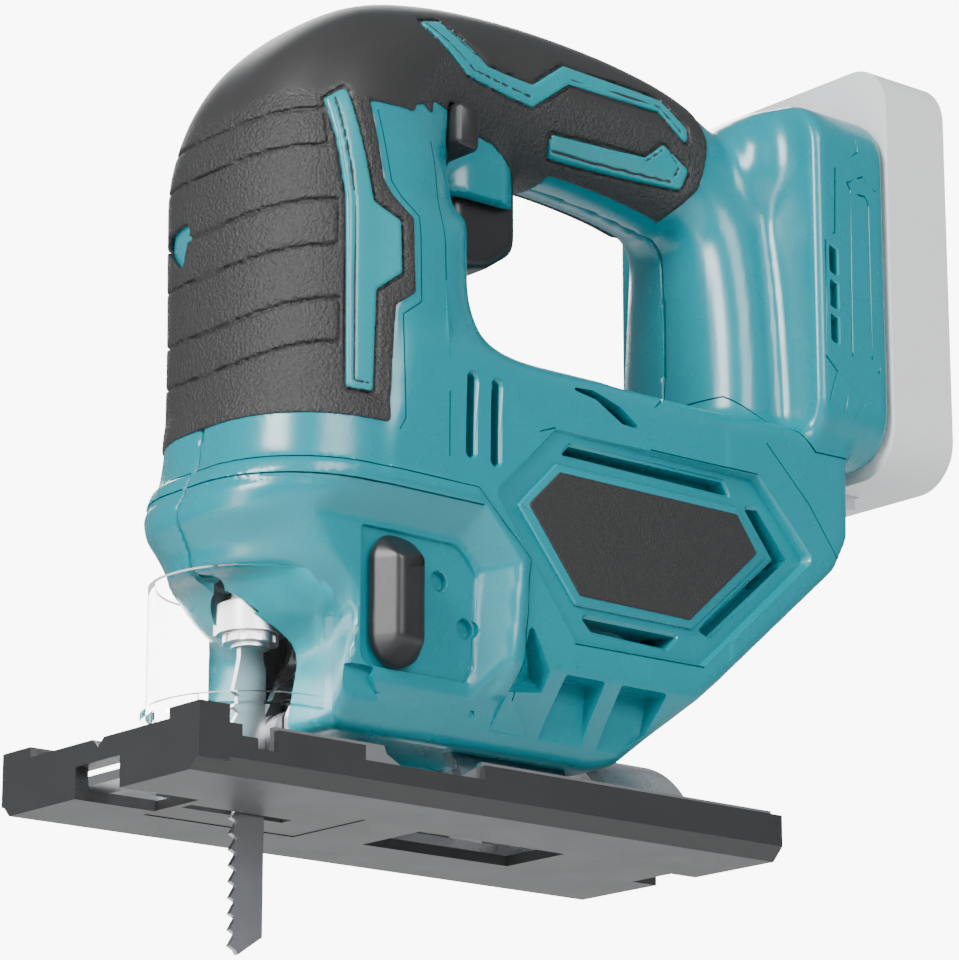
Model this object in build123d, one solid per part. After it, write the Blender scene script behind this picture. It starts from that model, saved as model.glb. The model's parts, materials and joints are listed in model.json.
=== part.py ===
from build123d import *
import math
import os

os.makedirs("parts", exist_ok=True)

# ---------------------------------------------------------------------------
# Driving dimensions, in mm. X points back, Y to the tool's right, Z up.
# The origin is where the blade's line meets the sole of the base.
# ---------------------------------------------------------------------------
# base
BASE_FRONT, BASE_BACK = -41.0, 130.0
BASE_HALF = 37.5
SOLE_T = 2.5
PLATE_T = 2.2
COVER_WALL = 1.5
FLANGE_T = 1.6
INSERT_X = (-19.0, 23.0)
INSERT_HALF = 13.5
REAR_WINDOW_X = (41.0, 85.0)
REAR_WINDOW_HALF = 10.5
ARCH_R_OUT, ARCH_R_IN = 26.0, 23.6
ARCH_SPANS = ((43.0, 77.0), (89.0, 114.0))
TILT_LIMIT = 20.0

# housing
WALL = 2.6
SKIN = 1.8
NOSE_Z = 53.0
COLUMN_X = (-16.0, 45.0)
COLUMN_HALF = 31.0
COLUMN_R = 24.0
BODY_HALF = 33.0
BODY_TOP = 111.0
HANDLE_HALF_W, HANDLE_HALF_H = 17.0, 20.0
REAR_X = (128.0, 154.0)
REAR_HALF = 17.0
FOOT_X = (147.0, 171.5)
FOOT_Z = (105.0, 198.0)
FOOT_HALF = 37.5

# drive
MOTOR_Z = 70.0
MOTOR_R = 18.5
MOTOR_X = (42.0, 92.0)
SHAFT_R = 2.5
MODULE = 1.0
PINION_TEETH = 10
GEAR_TEETH = 50
GEAR_Z = MOTOR_Z + MODULE * (PINION_TEETH + GEAR_TEETH) / 2
GEAR_X = (16.0, 24.0)
AXLE_R = 4.0
CRANK_R = 10.0
CRANK_PIN_R = 3.4
ROD_R = 5.0
RUN_FIT = 0.05
YOKE_X = (4.0, 9.0)

# blade, roller, guard
BLADE_X = (-5.0, 4.0)
BLADE_T = 1.4
SHANK_X = (-3.2, 3.2)
BLADE_TIP_Z = -31.5
ROLLER_R = 5.5
ROLLER_POS = (10.1, 19.0)
BRACKET_PIVOT = (20.0, 51.0)
GUARD_R, GUARD_T = 24.0, 1.6
GUARD_Z = (21.0, 52.4)

# controls
LEVER_PIVOT = (20.0, 39.2)
LEVER_LENGTH = 24.0
LEVER_FLOOR = 28.6
LED_X = -11.6
TRIGGER_X = (51.0, 73.0)
TRIGGER_Z = (142.0, 172.0)
TRIGGER_HALF = 9.0
LOCK_POS = (39.5, 167.0)
LOCK_R = 5.5

# battery
BATTERY_X = (172.0, 196.0)
BATTERY_Z = (103.0, 213.0)
BATTERY_HALF = 37.5
BATTERY_PARTING = 180.5


# ---------------------------------------------------------------------------
# Small helpers
# ---------------------------------------------------------------------------
def box(x, y, z):
    """Box from three (low, high) pairs."""
    size = (x[1] - x[0], y[1] - y[0], z[1] - z[0])
    place = Pos((x[0] + x[1]) / 2, (y[0] + y[1]) / 2, (z[0] + z[1]) / 2)
    return place * Box(*size)


def pair_box(x, y, z):
    """The same box on both sides of the middle plane."""
    return box(x, y, z) + box(x, (-y[1], -y[0]), z)


def side_prism(points, half, rounding=0.0):
    """Solid with a side (XZ) outline, as wide as `half` each way."""
    face = make_face(Plane.XZ * Polyline(*points, close=True))
    solid = extrude(face, half, both=True)
    if rounding:
        rims = solid.edges().filter_by(lambda e: abs(abs(e.center().Y) - half) < 0.01)
        solid = chamfer(rims, rounding)
    return solid


def side_plate(points, y, hole=None):
    """Flat plate with a side (XZ) outline, between two Y stations."""
    face = make_face(Plane.XZ * Polyline(*points, close=True))
    if hole:
        face -= make_face(Plane.XZ * Polyline(*hole, close=True))
    return Pos(0, (y[0] + y[1]) / 2, 0) * extrude(face, abs(y[1] - y[0]) / 2, both=True)


def end_prism(points, x):
    """Solid with an end (YZ) outline, between two X stations."""
    face = make_face(Plane.YZ * Polyline(*points, close=True))
    return Pos((x[0] + x[1]) / 2, 0, 0) * extrude(face, (x[1] - x[0]) / 2, both=True)


def plan_slab(x, half, z, radius):
    """Rounded rectangle in plan, extruded up."""
    place = Pos((x[0] + x[1]) / 2, 0, z[0])
    return extrude(place * RectangleRounded(x[1] - x[0], 2 * half, radius), z[1] - z[0])


def plan_loft(x, half, radius, z, x2, half2, radius2, z2):
    low = Pos((x[0] + x[1]) / 2, 0, z) * RectangleRounded(x[1] - x[0], 2 * half, radius)
    high = Pos((x2[0] + x2[1]) / 2, 0, z2) * RectangleRounded(x2[1] - x2[0], 2 * half2, radius2)
    return loft([low, high])


def end_section(x, half, z, radius):
    place = Plane(origin=(x, 0, (z[0] + z[1]) / 2), x_dir=(0, 1, 0), z_dir=(1, 0, 0))
    return place * RectangleRounded(2 * half, z[1] - z[0], radius)


def rod_x(r, x, y=0.0, z=0.0):
    return Pos((x[0] + x[1]) / 2, y, z) * Rot(0, 90, 0) * Cylinder(r, x[1] - x[0])


def rod_y(r, y, x=0.0, z=0.0):
    return Pos(x, (y[0] + y[1]) / 2, z) * Rot(90, 0, 0) * Cylinder(r, y[1] - y[0])


def rod_z(r, z, x=0.0, y=0.0):
    return Pos(x, y, (z[0] + z[1]) / 2) * Cylinder(r, z[1] - z[0])


def ring_x(r_out, r_in, x, z=0.0):
    return rod_x(r_out, x, z=z) - rod_x(r_in, (x[0] - 1, x[1] + 1), z=z)


def ring_z(r_out, r_in, z, x=0.0):
    return rod_z(r_out, z, x) - rod_z(r_in, (z[0] - 1, z[1] + 1), x)


def toothed_disc(teeth, x, z, turn=0.0):
    """Spur gear blank with straight-sided teeth, axis along X."""
    pitch_r = MODULE * teeth / 2
    step = 2 * math.pi / teeth
    root, tip = pitch_r - 1.2 * MODULE, pitch_r + 0.8 * MODULE
    outline = []
    for i in range(teeth):
        middle = i * step + turn
        for radius, share in ((root, -0.28), (tip, -0.12), (tip, 0.12), (root, 0.28)):
            angle = middle + share * step
            outline.append((radius * math.sin(angle), z + radius * math.cos(angle)))
    return end_prism(outline, x)


def coil(radius, wire_r, pitch, height, place):
    """Closed-section helical spring standing along local Z."""
    path = Helix(pitch=pitch, height=height, radius=radius)
    start = Plane(origin=path @ 0, z_dir=path % 0)
    return place * sweep(start * Circle(wire_r), path=path)


# ---------------------------------------------------------------------------
# Housing envelope: the same forms at full size and pulled in by `inset`
# ---------------------------------------------------------------------------
def nose_form(inset):
    low = plan_loft(
        (-21 + inset, 40), 22 - inset, 20 - inset, NOSE_Z + inset,
        (-21 + inset, 40), 30.5 - inset, 26 - inset, 73,
    )
    high = plan_loft(
        (-21 + inset, 40), 30.5 - inset, 26 - inset, 73,
        (-16 + inset, 40), COLUMN_HALF - inset, COLUMN_R - inset, 88,
    )
    return low + high


def column_form(inset):
    x = (COLUMN_X[0] + inset, COLUMN_X[1] - inset)
    half = COLUMN_HALF - inset
    tower = plan_slab(x, half, (86, 206), COLUMN_R - inset)
    side = [
        (-16, 80), (-16, 146), (-12, 160), (-5, 173), (4, 184), (16, 194),
        (30, 201), (50, 206), (50, 150), (50, 80),
    ]
    across = [
        (-31, 80), (-31, 148), (-28, 166), (-23, 182), (-15, 197), (0, 206),
        (15, 197), (23, 182), (28, 166), (31, 148), (31, 80),
    ]
    side_face = offset(make_face(Plane.XZ * Polyline(*side, close=True)), -inset) if inset else \
        make_face(Plane.XZ * Polyline(*side, close=True))
    across_face = offset(make_face(Plane.YZ * Polyline(*across, close=True)), -inset) if inset else \
        make_face(Plane.YZ * Polyline(*across, close=True))
    return tower & extrude(side_face, 40, both=True) & extrude(across_face, 60, both=True)


def body_form(inset):
    outline = [
        (5, 37), (101, 37), (154, 78), (158, 87), (159, 111), (45, 111), (30, 111), (20, 100), (5, 88),
    ]
    face = make_face(Plane.XZ * Polyline(*outline, close=True))
    if inset:
        face = offset(face, -inset)
    half = BODY_HALF - inset
    solid = extrude(face, half, both=True)
    top = solid.edges().filter_by(
        lambda e: abs(abs(e.center().Y) - half) < 0.01 and e.center().Z > 110 - inset
    )
    return chamfer(top, 8.0, 6.0)


def lower_form(inset):
    skirt = end_prism(
        [(-24 + inset, 18 + inset), (24 - inset, 18 + inset), (26.5 - inset, 25), (33 - inset, 37.5),
         (33 - inset, 40), (-33 + inset, 40), (-33 + inset, 37.5), (-26.5 + inset, 25)],
        (5 + inset, 110 - inset),
    )
    side = [(5 + inset, 18 + inset), (78 - inset, 18 + inset), (86 - inset, 21 + inset),
            (104 - inset, 40), (5 + inset, 40)]
    return skirt & side_prism(side, 40)


def handle_form(inset):
    points = [(18, 176), (36, 182.5), (55, 186.3), (79, 187.2), (104, 186), (122, 182), (138, 174)]
    path = Spline(*[(x, 0, z) for x, z in points])
    start = Plane(origin=path @ 0, x_dir=(0, 1, 0), z_dir=path % 0)
    return sweep(start * Ellipse(HANDLE_HALF_W - inset, HANDLE_HALF_H - inset), path=path)


def rear_form(inset):
    post = side_prism(
        [(REAR_X[0] + inset, 100), (REAR_X[1], 100), (REAR_X[1], 190 - inset), (134, 190 - inset),
         (REAR_X[0] + inset, 183 - inset)],
        REAR_HALF - inset,
        5.0 if not inset else 3.0,
    )
    flare = loft([
        end_section(139, 16 - inset, (108 + inset, 190 - inset), 8),
        end_section(FOOT_X[0] + 2, FOOT_HALF - inset, (FOOT_Z[0] + inset, FOOT_Z[1] - inset), 12),
    ])
    plate = extrude(
        end_section(FOOT_X[0] + 2, FOOT_HALF - inset, (FOOT_Z[0] + inset, FOOT_Z[1] - inset), 12),
        FOOT_X[1] - FOOT_X[0] - 2 - (10 if inset else 0),
    )
    return post + flare + plate


def envelope(inset):
    whole = nose_form(inset) + column_form(inset)
    for form in (body_form(inset), lower_form(inset), handle_form(inset), rear_form(inset)):
        whole = whole + form
    return whole


# ---------------------------------------------------------------------------
# Housing pieces
# ---------------------------------------------------------------------------
def grip_regions():
    """Two prisms that mark where rubber covers the housing."""
    front = side_prism(
        [(-40, 87), (12, 87), (13.5, 113), (20, 120), (20, 136), (13, 146), (8, 166),
         (26, 163), (44, 172), (58, 215), (-40, 215)],
        60,
    )
    back = side_prism(
        [(58, 215), (44, 172), (74, 170), (77, 158), (109, 156), (116, 160), (127, 172), (127, 215)],
        60,
    )
    return front, back


def lever_bay():
    """Pocket on the left side that the selector lever swings in."""
    outline = [(6, 30.5), (48, 30.5), (41, 62), (38, 64), (6, 64)]
    return side_plate(outline, (-LEVER_FLOOR - 8, -LEVER_FLOOR))


def vent_slots():
    slots = pair_box((68, 121), (29, 40), (88.4, 91.2))
    slots += pair_box((72, 102), (29, 40), (47.2, 50.2))
    for x in (35.5, 42.0):
        slots += pair_box((x, x + 2.2), (27, 40), (84, 102))
    for z in (134.5, 143.5, 152.5):
        slots += pair_box((150, 153), (33, 40), (z, z + 5))
    return slots


def inner_ribs():
    """Walls inside the shells that hold the gearbox, the motor and the bearings."""
    ribs = pair_box((27, 30), (24, 32), (60, 140))
    ribs += box((60, 63), (-32, 32), (45, 108)) + box((80, 83), (-32, 32), (40, 108))
    ribs += box((97.4, 101.4), (-32, 32), (44, 92))
    ribs -= rod_x(MOTOR_R, (50, 90), z=MOTOR_Z)
    ribs -= rod_x(7.0, (90, 110), z=MOTOR_Z)
    ribs -= box((97, 102), (-12, 12), (92, 108))
    bay = pair_box((5.4, 27), (21, 23.4), (18.5, 56)) + box((24.5, 27), (-21.5, 21.5), (26, 56))
    return ribs + bay


def housing_shell():
    outer = envelope(0.0)
    inner = envelope(WALL)
    skin = outer - envelope(SKIN)
    grips = [skin & region for region in grip_regions()]
    bay_block = box((5, 50), (-BODY_HALF + 0.2, -LEVER_FLOOR + WALL), (28, 66))

    shell = outer - inner
    shell = shell + ((inner_ribs() + bay_block) & outer) - lever_bay()

    # channel for the tilt arches, and the open bay behind the blade
    shell = shell - rod_x(27.0, (26, 120), z=0)
    shell = shell - box((0, 24.5), (-21, 21), (10, 52.9))
    # plunger opening in the nose, trigger and lock openings in the handle
    shell = shell - plan_slab((-8.6, 24.4), 11.5, (48, 60), 4)
    shell = shell - rod_z(2.0, (50, 60), x=LED_X)
    shell = shell - box((TRIGGER_X[0] - 0.6, TRIGGER_X[1] + 0.6), (-9.6, 9.6), (150, 175))
    shell = shell - rod_y(LOCK_R + 0.4, (-40, 40), *LOCK_POS)
    # joint with the battery: T channels and the contact pocket, open at the bottom
    shell = shell - pair_box((164.6, 169.2), (22, 28.5), (100, 186))
    shell = shell - pair_box((169.1, 172), (22, 25.2), (100, 186))
    shell = shell - box((160, 172), (-15, 15), (100, 182))
    shell = shell - vent_slots()
    # pivots of the selector lever and the roller bracket, seat of the tilt bolt
    shell = shell - rod_y(4.0 + RUN_FIT, (-40, -20), *LEVER_PIVOT)
    shell = shell - rod_y(2.0, (-23.2, 23.2), *BRACKET_PIVOT)
    shell = shell - rod_z(3.0, (20, 60), x=60)
    shell = shell + (ring_z(7, 3.0, (24, 45), x=60) - rod_x(27.0, (40, 80)))
    for x, z in SCREW_SPOTS:
        shell = shell + (rod_y(4.2, (-33, 33), x, z) & outer) - rod_y(1.6, (-13, 13), x, z)
    for x, z in SCREW_SPOTS:
        shell = shell - rod_y(3.0, (12.2, 40), x, z)
    for grip in grips:
        shell = shell - grip
    return shell, grips


SCREW_SPOTS = ((37.0, 148.0), (98.0, 102.0), (142.0, 165.0), (112.0, 66.0), (8.0, 166.0), (92.0, 44.0))


def half_of(shape, side):
    """Left half for side -1, right half for side +1."""
    cutter = box((-80, 220), (0, 90) if side > 0 else (-90, 0), (-60, 260))
    return shape & cutter


def housing_screws():
    screws = None
    for x, z in SCREW_SPOTS:
        screw = rod_y(1.6, (-11, 12.2), x, z) + rod_y(3.0, (12.2, 14.2), x, z)
        screws = screw if screws is None else screws + screw
    return screws


def badge(side):
    outline = [(54, 75.4), (63.8, 85), (122.8, 84.5), (129, 76), (107.2, 55.9), (71, 55.4)]
    return side_plate(outline, (side * BODY_HALF, side * (BODY_HALF + 1.2)))


def side_trim(side):
    """Raised band round the badge."""
    ring = [(50, 75), (64, 88), (125.4, 87), (133.5, 76), (108.5, 53.2), (69, 52.7)]
    hole = [(53.6, 75.4), (63.6, 85.4), (123, 84.9), (129.5, 76), (107.4, 55.5), (70.8, 55)]
    return side_plate(ring, (side * BODY_HALF, side * (BODY_HALF + 0.8)), hole)


# ---------------------------------------------------------------------------
# Base
# ---------------------------------------------------------------------------
def base_openings():
    cut = box((-60, -19), (-8.5, 8.5), (-5, 20))
    cut += box((INSERT_X[0] - 0.1, INSERT_X[1] + 0.1), (-INSERT_HALF, INSERT_HALF), (-5, 20))
    cut += box(REAR_WINDOW_X, (-REAR_WINDOW_HALF, REAR_WINDOW_HALF), (-5, 20))
    cut += box((122, 140), (-7, 7), (-5, 20))
    return cut


def base_cover():
    face = [
        (-BASE_HALF + 3.2, 0), (BASE_HALF - 3.2, 0), (BASE_HALF, 3.3), (BASE_HALF, 10.8),
        (BASE_HALF - COVER_WALL, 10.8), (BASE_HALF - COVER_WALL, SOLE_T),
        (-BASE_HALF + COVER_WALL, SOLE_T), (-BASE_HALF + COVER_WALL, 10.8),
        (-BASE_HALF, 10.8), (-BASE_HALF, 3.3),
    ]
    cover = end_prism(face, (BASE_FRONT, BASE_BACK))
    cover -= base_openings()
    # lower rim along the sides
    cover -= pair_box((-25.4, -20), (35, 40), (6.0, 20))
    cover -= pair_box((-29.6, -20), (35, 40), (8.3, 20))
    cover -= pair_box((4, 38), (35, 40), (7.5, 20))
    # front blocks and low front bar with its notch
    cover += pair_box((BASE_FRONT, -33.0), (26.5, BASE_HALF), (SOLE_T - 0.1, 14.65))
    bar = pair_box((BASE_FRONT, -37.6), (8.4, 26.6), (SOLE_T - 0.1, 12.3))
    bar += box((BASE_FRONT, -36.0), (-26.6, 26.6), (7.2, 12.3))
    notch = end_prism([(-3, 13), (3, 13), (0, 10.4)], (-45, -30))
    cover += bar - notch
    # back bar with its nub
    back = pair_box((BASE_BACK - 2.0, BASE_BACK), (7.0, 36.2), (SOLE_T - 0.1, 10.0))
    return cover + back


def base_plate():
    x = (BASE_FRONT + 8.2, BASE_BACK - 2.2)
    half = BASE_HALF - COVER_WALL - 0.05
    z = SOLE_T
    plate = box(x, (-half, half), (z, z + PLATE_T))
    flange = pair_box((-20, x[1]), (half - FLANGE_T, half), (z, 11.8))
    dip = side_prism([(7, 20), (11, 10), (20, 5.2), (27, 5.2), (38, 11.0), (42, 20)], 60)
    plate = plate + (flange - dip)
    plate -= base_openings()
    bridge = box((BASE_FRONT + 3.6, x[0] + 1), (-15, 15), (z, z + PLATE_T))
    tongue = box((BASE_FRONT + 1.2, x[0]), (-7.8, 5), (z, z + PLATE_T))
    return plate + bridge + tongue


def splinter_insert():
    body = box(INSERT_X, (-INSERT_HALF + 0.1, INSERT_HALF - 0.1), (0.2, 2.4))
    slot = box((-17, 11), (-2.0, 2.0), (-1, 5))
    return body - slot


def tilt_bracket():
    """Two pressed arches that the body tilts on, on feet fixed to the plate."""
    foot_z = SOLE_T + PLATE_T
    bracket = None
    for low, high in ARCH_SPANS:
        arch = ring_x(ARCH_R_OUT, ARCH_R_IN, (low, high))
        arch &= box((low - 1, high + 1), (-40, 40), (foot_z + 1.2, 40))
        bracket = arch if bracket is None else bracket + arch
    floor = box((ARCH_SPANS[0][0], ARCH_SPANS[1][1]), (-29, 29), (foot_z, foot_z + 1.6))
    floor -= box((ARCH_SPANS[0][0] - 1, REAR_WINDOW_X[1] + 1), (-20, 20), (0, 20))
    for i in range(5):
        middle = ARCH_SPANS[0][1] + 1.2 + 2.4 * i
        floor -= pair_box((middle, middle + 1.2), (26, 30), (0, 20))
    bracket = bracket + floor
    # slot that the tilt bolt swings through
    reach = ARCH_R_OUT * math.sin(math.radians(TILT_LIMIT)) + 4
    return bracket - box((56.4, 63.6), (-reach, reach), (15, 40))


def tilt_bolt():
    shaft = rod_z(3.0, (19.5, 44), x=60)
    head = rod_z(5.0, (16.5, 19.6), x=60)
    socket = extrude(Pos(60, 0, 16) * RegularPolygon(2.6, 6), 2.6)
    return shaft + head - socket


def tilt_washer():
    washer = box((52, 68), (-7, 7), (19.6, 24)) & rod_x(ARCH_R_IN - 0.3, (40, 80))
    return washer - rod_z(3.0, (10, 40), x=60)


# ---------------------------------------------------------------------------
# Drive
# ---------------------------------------------------------------------------
def gearbox_frame():
    plate = box((26.5, 30.5), (-24, 24), (57, 143))
    low_arm = box((-8, 27), (-13, 13), (62, 72))
    low_arm -= box((12, 26.5), (-8.2, 8.2), (55, 75))
    high_arm = box((-8, 27), (-12, 12), (131, 141))
    frame = plate + low_arm + high_arm
    frame -= rod_z(7.5, (60, 74)) + rod_z(7.5, (130, 142))
    frame -= rod_x(8.0, (26, 31), z=MOTOR_Z)
    frame -= rod_x(AXLE_R, (26, 31), z=GEAR_Z)
    frame -= pair_box((26, 31), (10, 18), (104, 124))
    return frame


def plunger_yoke():
    bar = box(YOKE_X, (-15.5, 15.5), (GEAR_Z - 8, GEAR_Z + 8))
    bar -= box((0, 10), (-13.7, 13.7), (GEAR_Z - 3.8, GEAR_Z + 3.8))
    return bar - rod_z(ROD_R, (80, 120))


def plunger_rod():
    rod = rod_z(ROD_R, (49.8, 147)) - rod_z(3.4, (90, 148))
    return rod


def drive_gear():
    gear = toothed_disc(GEAR_TEETH, GEAR_X, GEAR_Z, math.pi / GEAR_TEETH)
    gear -= ring_x(20, 9, (GEAR_X[1] - 3, GEAR_X[1] + 1), z=GEAR_Z)
    gear += rod_x(7.0, (GEAR_X[1] - 0.1, GEAR_X[1] + 2.0), z=GEAR_Z)
    gear -= rod_x(AXLE_R + RUN_FIT, (GEAR_X[0] - 1, GEAR_X[1] + 3), z=GEAR_Z)
    return gear - rod_x(CRANK_PIN_R, (GEAR_X[0] - 1, GEAR_X[0] + 5), y=CRANK_R, z=GEAR_Z)


def crank_pin():
    pin = rod_x(CRANK_PIN_R, (YOKE_X[1] + 0.4, GEAR_X[0] + 5), y=CRANK_R, z=GEAR_Z)
    return pin - rod_x(1.0, (YOKE_X[1], YOKE_X[1] + 3), y=CRANK_R, z=GEAR_Z)


def counterweight():
    disc = rod_x(20, (GEAR_X[0] - 3.0, GEAR_X[0]), z=GEAR_Z)
    side = box((GEAR_X[0] - 4, GEAR_X[0]), (-30, 5.5), (60, 140))
    return (disc & side) - rod_x(6, (GEAR_X[0] - 4, GEAR_X[0] + 1), z=GEAR_Z)


def blade_clamp():
    """Barrel under the rod, split for the blade's shank."""
    body = rod_z(5.6, (48.6, 50.6)) + rod_z(4.4, (38.4, 48.7))
    body -= rod_z(ROD_R, (49.8, 60))
    return body - box((SHANK_X[0] - 0.1, SHANK_X[1] + 0.1), (-0.75, 0.75), (30, 47.6))


def clamp_collar():
    ring = ring_z(7.7, 4.45, (41.5, 48.3))
    ring += ring_z(6.4, 4.45, (39.4, 41.6))
    for i in range(10):
        ring -= Rot(0, 0, 36 * i) * box((6.0, 7.0), (-0.8, 0.8), (39, 41))
    return ring + Rot(0, 0, 100) * box((7.0, 9.6), (-2.2, 2.2), (42.5, 47.5))


def jigsaw_blade():
    outline = [(SHANK_X[0], 47.5), (SHANK_X[1], 47.5), (SHANK_X[1], 36), (BLADE_X[1], 34),
               (BLADE_X[1], -27), (-2.6, BLADE_TIP_Z)]
    pitch = 3.6
    first = BLADE_TIP_Z + 1.0
    for i in range(int((33 - first) / pitch)):
        outline.append((BLADE_X[0] + 1.7, first + i * pitch))
        outline.append((BLADE_X[0], first + i * pitch + 0.8))
    outline.append((BLADE_X[0] + 1.2, 33))
    outline.append((SHANK_X[0], 36))
    return side_prism(outline, BLADE_T / 2)


def roller_bracket():
    px, pz = BRACKET_PIVOT
    rx, rz = ROLLER_POS
    cheek = [(rx - 3.4, rz - 3), (rx + 3, rz - 4.2), (rx + 7, rz - 2), (px + 2.5, 34), (px + 4, pz + 4),
             (px - 4, pz + 4), (px - 5, 40), (rx - 3.4, rz + 4)]
    cheeks = side_prism(cheek, 6.2) - side_prism([(-20, 0), (60, 0), (60, 80), (-20, 80)], 4.2)
    web = box((px - 4.6, px + 1.5), (-4.3, 4.3), (38, 46))
    hole = rod_y(2.0 + RUN_FIT, (-10, 10), px, pz)
    return cheeks + web - hole - rod_y(1.5, (-10, 10), rx, rz)


def guide_roller():
    rx, rz = ROLLER_POS
    wheel = rod_y(ROLLER_R + 0.5, (-3.8, 3.8), rx, rz)
    groove = rod_y(ROLLER_R + 2, (-1.05, 1.05), rx, rz) - rod_y(ROLLER_R, (-2, 2), rx, rz)
    return wheel - groove - rod_y(1.5 + RUN_FIT, (-5, 5), rx, rz)


def chip_guard():
    outer = plan_slab((-GUARD_R + 1, 40), GUARD_R, GUARD_Z, GUARD_R - 0.5)
    inner = plan_slab((-GUARD_R + 1 + GUARD_T, 50), GUARD_R - GUARD_T, (0, 80), GUARD_R - GUARD_T - 0.5)
    guard = (outer - inner) & box((-40, 3.6), (-40, 40), (0, 80))
    rim = plan_slab((-GUARD_R - 0.2, 40), GUARD_R + 0.9, (GUARD_Z[0], GUARD_Z[0] + 2.4), GUARD_R)
    rim = (rim - inner) & box((-40, 3.6), (-40, 40), (0, 80))
    posts = pair_box((1.6, 4.2), (GUARD_R - 2.2, GUARD_R + 0.9), GUARD_Z)
    return guard + rim + posts


# ---------------------------------------------------------------------------
# Controls
# ---------------------------------------------------------------------------
def selector_lever():
    px, pz = LEVER_PIVOT
    y = (-LEVER_FLOOR - 5.6, -LEVER_FLOOR - 0.4)
    arm = [(px - 7, pz), (px - 3.4, pz + LEVER_LENGTH - 5.4), (px + 6.6, pz + LEVER_LENGTH - 5.4),
           (px + 7, pz)]
    knob = rod_y(7.0, y, px, pz) + rod_y(5.0, y, px + 1.6, pz + LEVER_LENGTH - 5.4)
    return knob + side_plate(arm, y)


def selector_shaft():
    px, pz = LEVER_PIVOT
    shaft = rod_y(4.0, (-LEVER_FLOOR - 0.4, -7.0), px, pz)
    return shaft - box((px + 1.2, px + 6), (-15, -5), (pz - 6, pz + 6))


def trigger():
    x, z = TRIGGER_X, TRIGGER_Z
    outline = [
        (x[0], z[1]), (x[0], z[0] + 9), (x[0] + 1.5, z[0] + 4), (x[0] + 6, z[0] + 0.5), (x[0] + 12, z[0]),
        (x[1] - 3, z[0] + 2.5), (x[1] - 0.6, z[0] + 7), (x[1], z[0] + 13), (x[1], z[1]),
    ]
    block = side_prism(outline, TRIGGER_HALF, 2.0)
    return block - box((x[0] + 3, x[1] - 3), (-6, 6), (z[0] + 16, z[1] + 1))


def trigger_spring():
    return coil(3.4, 0.5, 2.4, 21.4, Pos(62, 0, TRIGGER_Z[0] + 16.8))


def switch_body():
    body = box((50, 90), (-10.5, 10.5), (181.2, 195))
    stem = box((51.5, 53.5), (-3, 3), (178.2, 181.5))
    return body + stem


def lock_button():
    x, z = LOCK_POS
    bar = rod_y(LOCK_R, (-25.5, 20.5), x, z)
    return bar - ring_y_groove(x, z)


def ring_y_groove(x, z):
    return rod_y(LOCK_R + 1, (-3, 3), x, z) - rod_y(LOCK_R - 1.6, (-4, 4), x, z)


# ---------------------------------------------------------------------------
# Motor
# ---------------------------------------------------------------------------
def motor_can():
    can = ring_x(MOTOR_R, MOTOR_R - 1.4, MOTOR_X, z=MOTOR_Z)
    front = ring_x(MOTOR_R, 7.0, (MOTOR_X[0], MOTOR_X[0] + 1.4), z=MOTOR_Z)
    return can + front


def motor_magnets():
    x = (MOTOR_X[0] + 5, MOTOR_X[1] - 8)
    ring = ring_x(MOTOR_R - 1.4, MOTOR_R - 4.6, x, z=MOTOR_Z)
    gap = box((x[0] - 1, x[1] + 1), (-40, 40), (MOTOR_Z - 4, MOTOR_Z + 4))
    return ring - gap


def rotor_core():
    core = ring_x(MOTOR_R - 5.2, SHAFT_R, (MOTOR_X[0] + 6, MOTOR_X[1] - 12), z=MOTOR_Z)
    for i in range(10):
        angle = math.radians(36 * i)
        y = (MOTOR_R - 6.8) * math.sin(angle)
        z = MOTOR_Z + (MOTOR_R - 6.8) * math.cos(angle)
        core -= rod_x(1.3, (MOTOR_X[0], MOTOR_X[1]), y=y, z=z)
    return core


def cooling_fan():
    x = (33.0, 40.0)
    fan = rod_x(20, (x[1] - 1.5, x[1]), z=MOTOR_Z) + rod_x(6, x, z=MOTOR_Z)
    blade = box((x[0], x[1] - 1), (-0.7, 0.7), (MOTOR_Z + 5, MOTOR_Z + 19.5))
    for i in range(12):
        turn = Pos(0, 0, MOTOR_Z) * Rot(30 * i, 0, 0) * Pos(0, 0, -MOTOR_Z)
        fan += turn * blade
    return fan - rod_x(SHAFT_R, (20, 60), z=MOTOR_Z)


def pinion():
    return toothed_disc(PINION_TEETH, (14.5, 25.0), MOTOR_Z) - rod_x(SHAFT_R, (10, 30), z=MOTOR_Z)


def commutator():
    part = ring_x(8, SHAFT_R, (82, 90), z=MOTOR_Z)
    for i in range(12):
        turn = Pos(0, 0, MOTOR_Z) * Rot(30 * i, 0, 0) * Pos(0, 0, -MOTOR_Z)
        part -= turn * box((81, 91), (-0.3, 0.3), (MOTOR_Z + 7, MOTOR_Z + 9))
    return part


def brush_holder():
    ring = ring_x(MOTOR_R, 7.0, (92, 97), z=MOTOR_Z)
    arms = pair_box((81, 92.1), (9.4, 14), (MOTOR_Z - 3, MOTOR_Z + 3))
    return ring + arms - rod_x(8.3, (80, 92), z=MOTOR_Z)


# ---------------------------------------------------------------------------
# Battery
# ---------------------------------------------------------------------------
def battery_form(x, inset=0.0):
    z = (BATTERY_Z[0] + inset, BATTERY_Z[1] - inset)
    section = end_section(x[0], BATTERY_HALF - inset, z, 12 - inset)
    return extrude(section, x[1] - x[0])


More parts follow.
